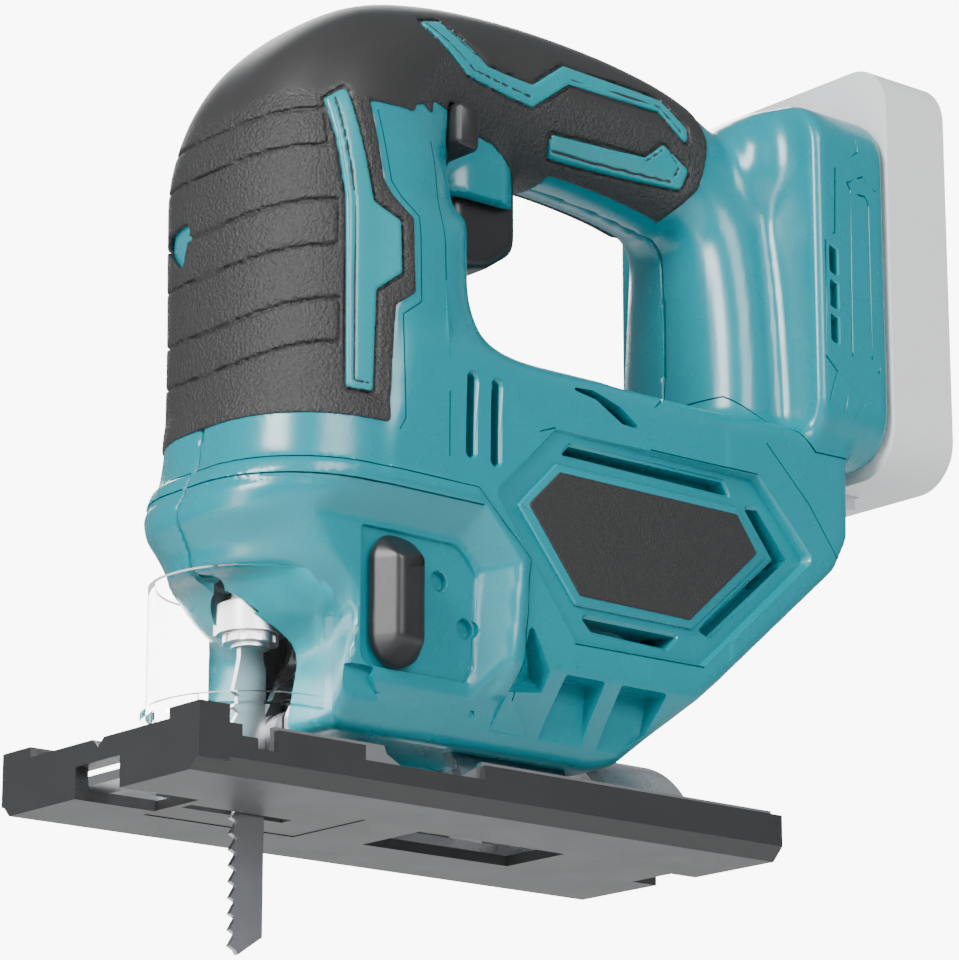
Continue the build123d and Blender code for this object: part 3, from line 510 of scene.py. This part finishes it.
def stack(name, pts, levels, plane="side"):
    """Closed solid through copies of one outline. levels are (distance, growth of the outline)."""
    return loft(name, [(outline_offset(pts, grow), at) for at, grow in levels], plane)


def ellipse(cx, cz, rx, rz, n=40):
    t = np.linspace(0, 2 * np.pi, n, endpoint=False)
    return list(zip(cx + rx * np.cos(t), cz + rz * np.sin(t)))


def capsule(a, b, r, n=9):
    """Outline of a slot with round ends between two points."""
    a, b = np.array(a, float), np.array(b, float)
    d = (b - a) / np.linalg.norm(b - a)
    turn = math.atan2(d[1], d[0])
    t = np.linspace(-math.pi / 2, math.pi / 2, n)
    end = [(b[0] + r * math.cos(turn + v), b[1] + r * math.sin(turn + v)) for v in t]
    start = [(a[0] + r * math.cos(turn + math.pi + v), a[1] + r * math.sin(turn + math.pi + v)) for v in t]
    return end + start


def wall_along(path, width, third):
    """Thin wall along a path, to engrave with. The path is closed if it ends where it starts."""
    p = np.array(path, float)
    closed = np.allclose(p[0], p[-1])
    if closed:
        p = p[:-1]
        before, after = np.roll(p, 1, 0), np.roll(p, -1, 0)
    else:
        before = np.vstack([2 * p[0] - p[1], p[:-1]])
        after = np.vstack([p[1:], 2 * p[-1] - p[-2]])
    d1, d2 = p - before, after - p
    d1 /= np.linalg.norm(d1, axis=1, keepdims=True)
    d2 /= np.linalg.norm(d2, axis=1, keepdims=True)
    n1, n2 = np.stack([d1[:, 1], -d1[:, 0]], 1), np.stack([d2[:, 1], -d2[:, 0]], 1)
    across = (n1 + n2) / np.maximum(0.4, 1 + np.sum(n1 * n2, 1))[:, None] * width / 2
    verts = [(q[0], t, q[1]) for a, b in zip(p + across, p - across) for q in (a, b) for t in third]
    n = len(p)
    faces = []
    for i in range(n if closed else n - 1):
        a, b = 4 * i, 4 * ((i + 1) % n)
        faces += [(a, a + 1, b + 1, b), (a + 2, b + 2, b + 3, a + 3), (a, b, b + 2, a + 2),
                  (a + 1, a + 3, b + 3, b + 1)]
    if not closed:
        b = 4 * (n - 1)
        faces += [(0, 2, 3, 1), (b, b + 1, b + 3, b + 2)]
    return solid("lines", np.array(verts), faces)


def curve(pts, steps=6):
    """Smooth line through points."""
    p = [np.array(q, float) for q in pts]
    out = []
    for i in range(len(p) - 1):
        out += [tuple(spline(p, i, k / steps)) for k in range(steps)]
    out.append(tuple(p[-1]))
    return out


def ring(pts):
    return list(pts) + [pts[0]]


# ---------------------------------------------------------------- housing
def grip_outline(g):
    """Distance to the soft grip's region seen from the side, less the teal strip under the handle."""
    across = np.abs(g.y)
    strip = rounded_rect(np.abs(g.x - 101.1) - 18.1, across - 7.6, 1.0) + 0 * g.z
    strip = np.maximum(strip, g.z - 178)
    return np.maximum(poly2(g.x, g.z, rounded(GRIP, 0.8, 3)) + 0 * across, -strip)


g = Grid((-26, 174), (-2 * VOXEL, 40.5), (13, 211), VOXEL)
field = housing_field(g)
ay = np.abs(g.y)
grip_region = grip_outline(g)
shell = np.maximum(field, -np.maximum(np.maximum(grip_region + 1.0, -(field + 0.9)), field - 9))
limit = ramp(g.z, [(0, 22.3), (44, 22.3), (50, 24.8), (96, 24.8), (106, 60), (300, 60)])
WALL = 2.8
cavity = np.maximum(np.maximum(field + WALL, ay - limit), -(g.z - 20.5))

housing = g.mesh("housing", shell, half=SEAM)
inner = g.mesh("inner", field + 0.55, half=PAST_SEAM)
room = g.mesh("room", cavity, adaptivity=0.3, half=PAST_SEAM)
# meant to hollow the shell, but both solids are inside out, so it adds the inner walls
cut_out(housing, room)

# panel behind the lever
cut_out(housing, stack("bay", rounded(BAY_FLOOR, [1, 2, 3, 3, 3, 1.5, 3]),
                       [(-40, 0.5), (-28.4, 0.5), (-28.1, 0.2), (BAY_Y, 0)]))
cut_out(housing, stack("low_slot", rounded([(13.6, 31.4), (12.8, 29.2), (15.2, 26.0), (44.7, 25.7), (41.4, 22.7),
                                            (3.8, 22.4), (5.5, 31.4)], 0.6), [(-45, 0.3), (-26.4, 0)]))
for c in ((32.9, 54.4), (40.6, 44.4)):
    cut_out(housing, stack("dimple", ellipse(*c, 2.3, 2.3, 28),
                           [(-30, 0.6), (BAY_Y, 0.3), (BAY_Y + 0.3, 0), (BAY_Y + 1.7, -0.2)]))
# hexagon on the side
hexa = rounded(HEX, 1.5, 3)
hx = np.array(outline_offset(hexa, 0))
cut_out(housing, loft("hexagon", [(outline_offset(hexa, 2.6), -40), (outline_offset(hexa, 1.2), SIDE - 0.5),
                                  (outline_offset(hexa, 0.5), SIDE + 0.25), (hx, hex_floor(hx[:, 0]))]))
for pts in ([(68.4, 91.8), (118.8, 92.4), (120.7, 89.3), (66.1, 89.4)],
            [(72.2, 51.1), (102.6, 51.3), (99.2, 47.9), (75.2, 48.2)],
            [(126.7, 87.2), (130.4, 87.3), (140.2, 76.4), (113.6, 53.4), (110.6, 54.2), (135.7, 75.8)]):
    o = rounded(pts, 0.3, 2)
    y0 = hex_floor(np.array(o)[:, 0])
    cut_out(housing, loft("vent", [(outline_offset(o, 1.1), y0 - 3), (outline_offset(o, 0.75), y0 + 0.1),
                                   (outline_offset(o, 0.45), y0 + 0.55), (outline_offset(o, 0.0), y0 + 0.6),
                                   (outline_offset(o, 0.0), -15)]))
# ribs cut low on the side
for s in SCALLOPS:
    cut_out(housing, stack("scallop", rounded(s, 0.5, 2), [(-40, 0.6), (-33.4, 0.4), (SCALLOP_Y, -0.2)]))
# upright vents, the curved one on the shoulder and the three in the foot
for a, b in (((37.8, 84.7), (38.1, 102.5)), ((45.2, 84.0), (45.4, 102.1))):
    cut_out(housing, stack("vent", capsule(a, b, 1.15), [(-40, 0.6), (-32.9, 0.6), (-32.2, 0), (-18, 0)]))
shoulder = [(67.4, 106.1), (76, 104.6), (84.4, 100.2), (90.1, 99.8), (84, 103.9), (75.5, 106.6)]
cut_out(housing, stack("vent", rounded(shoulder, 0.3, 2), [(-40, 0.2), (-15, 0)]))
for z0 in (151, 142, 133):
    o = rounded([(150.9, z0 + 0.7), (150.9, z0 + 7.6), (153.5, z0 + 6.6), (153.5, z0 - 0.3)], 0.5, 2)
    cut_out(housing, stack("vent", o, [(-45, 0.5), (-37.4, 0.5), (-36.9, 0), (-30, 0)]))
# openings for the rod, the lamp, the roller and the trigger, and a slot at the bottom of the foot
def box_outline(x0, x1, half):
    return [(x0, -half), (x1, -half), (x1, half), (x0, half)]


for outline, levels in (
        (ellipse(0, 0, 8.4, 8.4), [(45, 0.8), (53.0, 0.8), (53.8, 0), (60, 0)]),
        (ellipse(-11.6, 0, 2.6, 2.6, 24), [(45, 0.8), (53.0, 0.8), (53.7, 0), (60, 0)]),
        (rounded(box_outline(-2, 27.5, 8.6), 2.5), [(10, 0), (55, 0)]),
        (rounded(box_outline(50.2, 74.4, 9.8), 4), [(150, 0.7), (156.1, 0.7), (156.8, 0), (174, 0)]),
        (rounded(box_outline(161, 180, 15), 2, 3), [(98.5, 0), (108.6, 0)])):
    cut_out(housing, stack("hole", outline, levels, "plan"))
PADDLE = rounded([(39.2, 162.2), (46.6, 161.4), (47.0, 173.0), (39.6, 173.6)], 1.8)

# fine lines
FOOT_LINES = [
    [(153.5, 197.5), (161.1, 191.6), (161.4, 185.3), (153.3, 179.3), (152.7, 162.1), (149.4, 159.4), (149, 128.7),
     (152.5, 125.5), (146.4, 109)],
    ring([(157.4, 176.3), (162.8, 179.1), (167.5, 176.2), (167.4, 128.4), (155.1, 108.1), (154.0, 109.5),
          (157.9, 130.5), (158.4, 174.9)]),
    [(161, 173.9), (163.6, 174), (164.8, 172.5), (164.8, 131.1)],
]
BODY_LINES = [
    curve([(95, 106.2), (103, 111.6), (112.8, 114.9), (122, 117.5), (131, 119.2)])
    + [(148, 104.7), (159.5, 104.9), (166, 104.9)],
    [(131.5, 104), (145.5, 91), (155.2, 78.5)],
    [(31.3, 82.5), (31.3, 125), (30.6, 146), (29.6, 160)],
    [(-40, 72.75), (41.3, 72.6)], [(-40, 77.1), (39.9, 76.6), (55.5, 62.3), (52.9, 29.0)],
    [(16.6, 86.2), (18.3, 89), (18.2, 114), (23.4, 118), (23.0, 138.6), (18.0, 142.6), (15.4, 146), (12.6, 163.2)],
    [(58.6, 93.5), (63.4, 95.2), (128.3, 95.5)], [(69, 44.2), (109.9, 44.6)],
]
for path in FOOT_LINES:
    cut_out(housing, wall_along(path, 0.5, (-60, -36.6)))
for path in BODY_LINES:
    groove = wall_along(path, 0.36, (-60, -1.0))
    cut_out(groove, inner, keep=True)
    cut_out(housing, groove)
cut_out(housing, stack("socket", PADDLE, [(-30, 0.5), (-10, 0.5)]))
right = mirrored(housing, "housing_shell_right")
housing.name = "housing_shell_left"
for x, z in ((37.0, 148.0), (98.0, 102.0), (142.0, 165.0), (112.0, 66.0), (92.0, 44.0)):
    cut_out(right, stack("screw", ellipse(x, z, 3.4, 3.4, 28), [(12, 0), (60, 0)]))
finish_piece(housing, TEAL, "housing", ("housing_left",))
finish_piece(right, TEAL, "housing", ("housing_right",))

# ---------------------------------------------------------------- soft grip and its teal inlays
def resample(gi):
    """Housing field on another grid, read by linear interpolation."""
    def axis(coarse_axis, fine_axis):
        c, f = coarse_axis.ravel(), fine_axis.ravel()
        p = np.clip((f - c[0]) / (c[1] - c[0]), 0, len(c) - 1.001)
        i = p.astype(int)
        return i, (p - i).astype(np.float32)
    ix, fx = axis(g.x, gi.x)
    iy, fy = axis(g.y, gi.y)
    iz, fz = axis(g.z, gi.z)
    a = field[ix] * (1 - fx)[:, None, None] + field[ix + 1] * fx[:, None, None]
    b = a[:, iy] * (1 - fy)[None, :, None] + a[:, iy + 1] * fy[None, :, None]
    return b[:, :, iz] * (1 - fz) + b[:, :, iz + 1] * fz


def path_distance(px, pz, path):
    d = np.full(np.broadcast(px, pz).shape, 1e9, np.float32)
    for (ax, az), (bx, bz) in zip(path[:-1], path[1:]):
        ex, ez = bx - ax, bz - az
        t = np.clip(((px - ax) * ex + (pz - az) * ez) / (ex * ex + ez * ez), 0, 1)
        d = np.minimum(d, np.sqrt((px - ax - ex * t) ** 2 + (pz - az - ez * t) ** 2))
    return d


gg = Grid((-17, 131), (0, 32.5), (84, 208), 0.6)
near = resample(gg)
gy = np.abs(gg.y)
region = grip_outline(gg)
GRIP_PROUD, GRIP_DEEP, GROOVE_DEEP = 0.5, 1.1, 0.35
grip_field = smax(smax(near - GRIP_PROUD, region, 0.9), -(near + GRIP_DEEP), 0.3)
floor_at = -(near + GROOVE_DEEP)
# grooves round the inlays, then the panels of the nose
for outline in (BAR, ZIGZAG, ARROW):
    edge = np.abs(poly2(gg.x, gg.z, rounded(outline_offset(outline, 0.3), 1.0, 3))) - 0.42
    grip_field = smax(grip_field, -np.maximum(edge + 0 * gy, floor_at), 0.15)
for top, low, end, drop_by in ((161.6, 152.0, -1.2, 2.6), (138.8, 128.0, 1.2, 3.6), (115.4, 105.2, 1.8, 4.8)):
    sag = drop_by * (1 - np.clip(gy / 31, 0, 1) ** 2)
    for z0, w in ((top, 1.0), (low, 0.75)):
        edge = np.maximum(np.abs(gg.z - z0 + sag) - w / 2, gg.x - end)
        grip_field = smax(grip_field, -np.maximum(edge, floor_at), 0.15)
    edge = np.maximum(np.abs(gg.x - end) - 0.36, np.maximum(gg.z - top, low - gg.z)) + 0 * gy
    grip_field = smax(grip_field, -np.maximum(np.maximum(edge, 15 - gy), floor_at), 0.15)
# hole for the lock, and the teal window on one side of the nose
grip_field = np.maximum(grip_field, -np.maximum(poly2(gg.x, gg.z, outline_offset(PADDLE, 0.5)) + 0 * gy, 10 - gy))
WINDOW = rounded([(7, 137.5), (9, 139.5), (20, 139.5), (22, 137.5), (10.5, 128.5)], [1, 1, 1, 2, 1.5], 4)
window = np.maximum(poly2(gg.y, gg.z, WINDOW) + 0 * gg.x, gg.x)
both = np.concatenate([grip_field[:, :0:-1], smax(grip_field, -window, 0.5)], axis=1)
gg.lo = (gg.lo[0], -(gg.y.shape[1] - 1) * gg.h, gg.lo[2])
grip = gg.mesh("soft_grip", both)
finish_piece(grip, GRIP_LOOK, "housing",
             ("nose_grip_left", "handle_grip_left", "nose_grip_right", "handle_grip_right"))


INLAY_PROUD, INLAY_DEEP = 0.62, 1.2
MARK_HALF, MARK_FLOOR = 0.24, 0.36


def inlay(name, outline, x, z, marks):
    """Thin raised plate that follows the housing's surface inside an outline, with fine lines in it."""
    gi = Grid(x, (2, 34), z, 0.42)
    sub = resample(gi)
    d = smax(sub - INLAY_PROUD, poly2(gi.x, gi.z, rounded(outline, 1.0, 3)) + 0 * gi.y, 0.7)
    d = smax(d, -(sub + INLAY_DEEP), 0.2)
    for mark in marks:
        d = smax(d, -np.maximum(path_distance(gi.x, gi.z, mark) - MARK_HALF + 0 * gi.y, -(sub - MARK_FLOOR)), 0.1)
    return gi.mesh(name, d, half=4.0)


for name, outline, x, z, marks in (
        ("bar_inlay", BAR, (-5, 21), (90, 170), [[(1.2, 163.8), (4.9, 139.9), (5.1, 96.0), (9.0, 95.8)]]),
        ("handle_inlay_upper", ZIGZAG, (30, 125), (178, 200),
         [[(35.6, 193.6), (49.2, 184.9), (69.0, 183.6)], [(42, 194.2), (49.6, 189.2), (51.5, 189.4)],
          [(83, 191.6), (112.6, 191.8), (119, 186.6)]]),
        ("handle_inlay_lower", ARROW, (74, 125), (168, 185),
         [[(78.2, 175.4), (78.8, 173.2), (117.0, 173.2)], [(108.4, 176.6), (112.8, 180.2)],
          [(115.6, 180.0), (118.6, 177.0), (117.8, 174.8)]])):
    piece = inlay(name + "_left", outline, x, z, marks)
    finish_piece(piece, TEAL_LIGHT, "housing", ())
    finish_piece(mirrored(piece, name + "_right"), TEAL_LIGHT, "housing", ())
drop(inner)

# ---------------------------------------------------------------- hexagon frame and its black plate
def on_hexagon(name, outline, levels):
    """Solid on the hexagon's floor. levels are (growth of the outline, height over the floor)."""
    rings = [(outline_offset(outline, grow), up) for grow, up in levels]
    return loft(name, [(r, hex_floor(r[:, 0]) - up) for r, up in rings])


for tag in ("left", "right"):
    rim = on_hexagon("plate_frame_" + tag, rounded(HEX_FRAME, 1.2, 4),
                     [(-0.5, -1.2), (-0.5, 0.55), (-0.85, 0.95), (-1.3, 1.05)])
    plate = on_hexagon("plate_" + tag, rounded(PLATE, 0.8, 4), [(-0.1, 0.2), (-0.1, 1.15), (-0.4, 1.4)])
    if tag == "right":
        for ob in (rim, plate):
            flip_side(ob.data)
    finish_piece(rim, TEAL, "housing", ("side_trim_" + tag,))
    finish_piece(plate, BADGE, "housing", ("badge_" + tag,))

# ---------------------------------------------------------------- controls
def soft_block(name, x, y, z, d_of, step):
    """Piece from a distance function on a grid of its own."""
    gb = Grid(x, y, z, step)
    return gb.mesh(name, d_of(gb).astype(np.float32) + 0 * (gb.x + gb.y + gb.z))


def knob_field(gb):
    """Long tapered knob with sloping ends. It points out to negative y."""
    px, pz = gb.x - 18.6, gb.z
    t = np.clip(pz, 38.4, 55.6)
    rr = np.sqrt(px ** 2 + (pz - t) ** 2)
    out = -gb.y
    taper = 6.9 - np.clip(out - 30.2, 0, 9) * 0.62
    side = (rr - taper) * 0.85
    cap = out - 35.6
    end_low = (out - 29.5) * 0.62 - (pz - 31.6) * 0.72 + 0.2
    end_high = (out - 29.8) * 0.66 + (pz - 62.2) * 0.72 + 0.4
    d = smax(side, cap, 1.4)
    d = smax(d, end_low, 0.8)
    d = smax(d, end_high, 0.8)
    return smax(d, 27.9 - out, 0.6)


knob = soft_block("selector_knob", (10, 27.5), (-37.4, -27), (30, 64.5), knob_field, 0.35)
tri = rounded([(21.4, 59.4), (17.2, 53.4), (22.4, 54.6)], 0.4, 2)
cut_out(knob, stack("pointer", tri, [(-40, 0.1), (-34.3, 0)]))
finish_piece(knob, BLACK, "selector", ("selector_lever",))


def trigger_field(gb):
    ayb = np.abs(gb.y)
    front = 51.6 + np.clip((156 - gb.z) / 14, 0, 1) ** 2 * 0.8
    plan = rounded_rect(np.maximum(front - gb.x, gb.x - 73.2), ayb - 8.9, 3.4)
    profile = [(50, 172), (50, 142.6), (57, 139.4), (64, 141.0), (73.6, 147.5), (73.6, 172)]
    prof = poly2(gb.x, gb.z, rounded(profile, [1, 3, 4, 6, 6, 1], 4))
    return smax(plan, prof + 0 * ayb, 3.2)


trig = soft_block("trigger_body", (49, 76), (-10.5, 10.5), (138, 173.5), trigger_field, 0.45)
finish_piece(trig, BLACK, "trigger", ("trigger",))
paddle = stack("lock_paddle", PADDLE, [(20.4, -1.0), (19.6, -0.2), (-24.4, -0.1), (-25.3, -0.5), (-25.8, -1.3)])
finish_piece(paddle, BLACK, "lock", ("lock_button",))

# ---------------------------------------------------------------- carried-over CAD pieces
LOOKS = {
    "teal_plastic": TEAL, "black_rubber": RUBBER, "black_plastic": BLACK, "badge_black": BADGE, "pale_plastic": PALE,
    "clear_plastic": CLEAR, "lamp_lens": LENS, "steel": STEEL, "dark_steel": DARK_STEEL, "zinc_steel": ZINC,
    "aluminium": ALUMINIUM, "bronze": BRONZE, "copper": COPPER, "magnet": DARK_STEEL, "board_green": BOARD,
    "cell_wrap": WRAP,
}
EDGE = 0.35 * MM
slots = {s["node"]: s["material_slot"] for s in frame["record"]["subparts"]}
for name, ob in frame["nodes"].items():
    look = LOOKS[slots[name]]
    if name in ("base_cover", "splinter_insert"):
        look = SHOE
    ob.data.materials.clear()
    ob.data.materials.append(look)
    bevel = ob.modifiers.new("edge", "BEVEL")
    bevel.width = EDGE
    bevel.segments = 2
    bevel.limit_method = "ANGLE"
    bevel.angle_limit = math.radians(40)
    bevel.harden_normals = False

# ---------------------------------------------------------------- camera, light, floor
scene = bpy.context.scene
cam_data = bpy.data.cameras.new("camera")
cam = add_object("camera", cam_data)
cam_data.sensor_width = 36.0
cam_data.lens = 154.5
cam_data.clip_start = 0.01
cam.location = (-0.5437, -0.7302, -0.1753)
pitch, turn = math.radians(15.585), math.radians(39.94)
ahead = Vector((math.sin(turn) * math.cos(pitch), math.cos(turn) * math.cos(pitch), math.sin(pitch)))
cam.rotation_euler = ahead.to_track_quat("-Z", "Y").to_euler()
scene.camera = cam

world = bpy.data.worlds.new("studio")
scene.world = world
world.use_nodes = True
wn = world.node_tree
for node in list(wn.nodes):
    wn.nodes.remove(node)
out = wn.nodes.new("ShaderNodeOutputWorld")
BACKDROP, ROOM_LIGHT = 9.0, 0.38  # what the camera sees behind the object, and what lights it
white = wn.nodes.new("ShaderNodeBackground")
white.inputs["Color"].default_value = (1, 1, 1, 1)
white.inputs["Strength"].default_value = BACKDROP
room = wn.nodes.new("ShaderNodeBackground")
room.inputs["Color"].default_value = (0.9, 0.95, 1.0, 1)
room.inputs["Strength"].default_value = ROOM_LIGHT
mixer = wn.nodes.new("ShaderNodeMixShader")
path = wn.nodes.new("ShaderNodeLightPath")
either = wn.nodes.new("ShaderNodeMath")
either.operation = "MAXIMUM"
wn.links.new(path.outputs["Is Camera Ray"], either.inputs[0])
wn.links.new(path.outputs["Is Transmission Ray"], either.inputs[1])
wn.links.new(either.outputs[0], mixer.inputs[0])
wn.links.new(room.outputs[0], mixer.inputs[1])
wn.links.new(white.outputs[0], mixer.inputs[2])
wn.links.new(mixer.outputs[0], out.inputs["Surface"])


def area(name, place, aim, size, power):
    """Rectangular lamp at a place, turned to a point."""
    data = bpy.data.lights.new(name, "AREA")
    data.shape = "RECTANGLE"
    data.size, data.size_y = size
    data.energy = power
    ob = add_object(name, data)
    ob.location = place
    ob.rotation_euler = (Vector(aim) - Vector(place)).to_track_quat("-Z", "Y").to_euler()


area("key", (-1.1, -0.35, 0.75), (0.05, 0, 0.1), (0.5, 0.5), 30)
area("side", (-0.1, -1.3, 0.75), (0.08, 0, 0.08), (0.7, 0.7), 17)
area("left", (-0.9, -0.2, -0.1), (0.0, 0, 0.1), (0.25, 1.0), 7)
area("under", (0.1, -0.5, -0.9), (0.05, 0, 0.0), (0.8, 0.5), 2.2)
area("rim", (0.6, 0.9, 0.8), (0.05, 0, 0.1), (0.6, 0.6), 14)

floor_mesh = bpy.data.meshes.new("floor")
FLOOR_HALF, FLOOR_Z = 6, -0.2
corners = [(a * FLOOR_HALF, b * FLOOR_HALF, FLOOR_Z) for a, b in ((-1, -1), (1, -1), (1, 1), (-1, 1))]
floor_mesh.from_pydata(corners, [], [(0, 1, 2, 3)])
floor = add_object("floor", floor_mesh)
floor.data.materials.append(material("floor_pale", (0.8, 0.8, 0.8), 0.7, grain=(0.02, 4.0)))
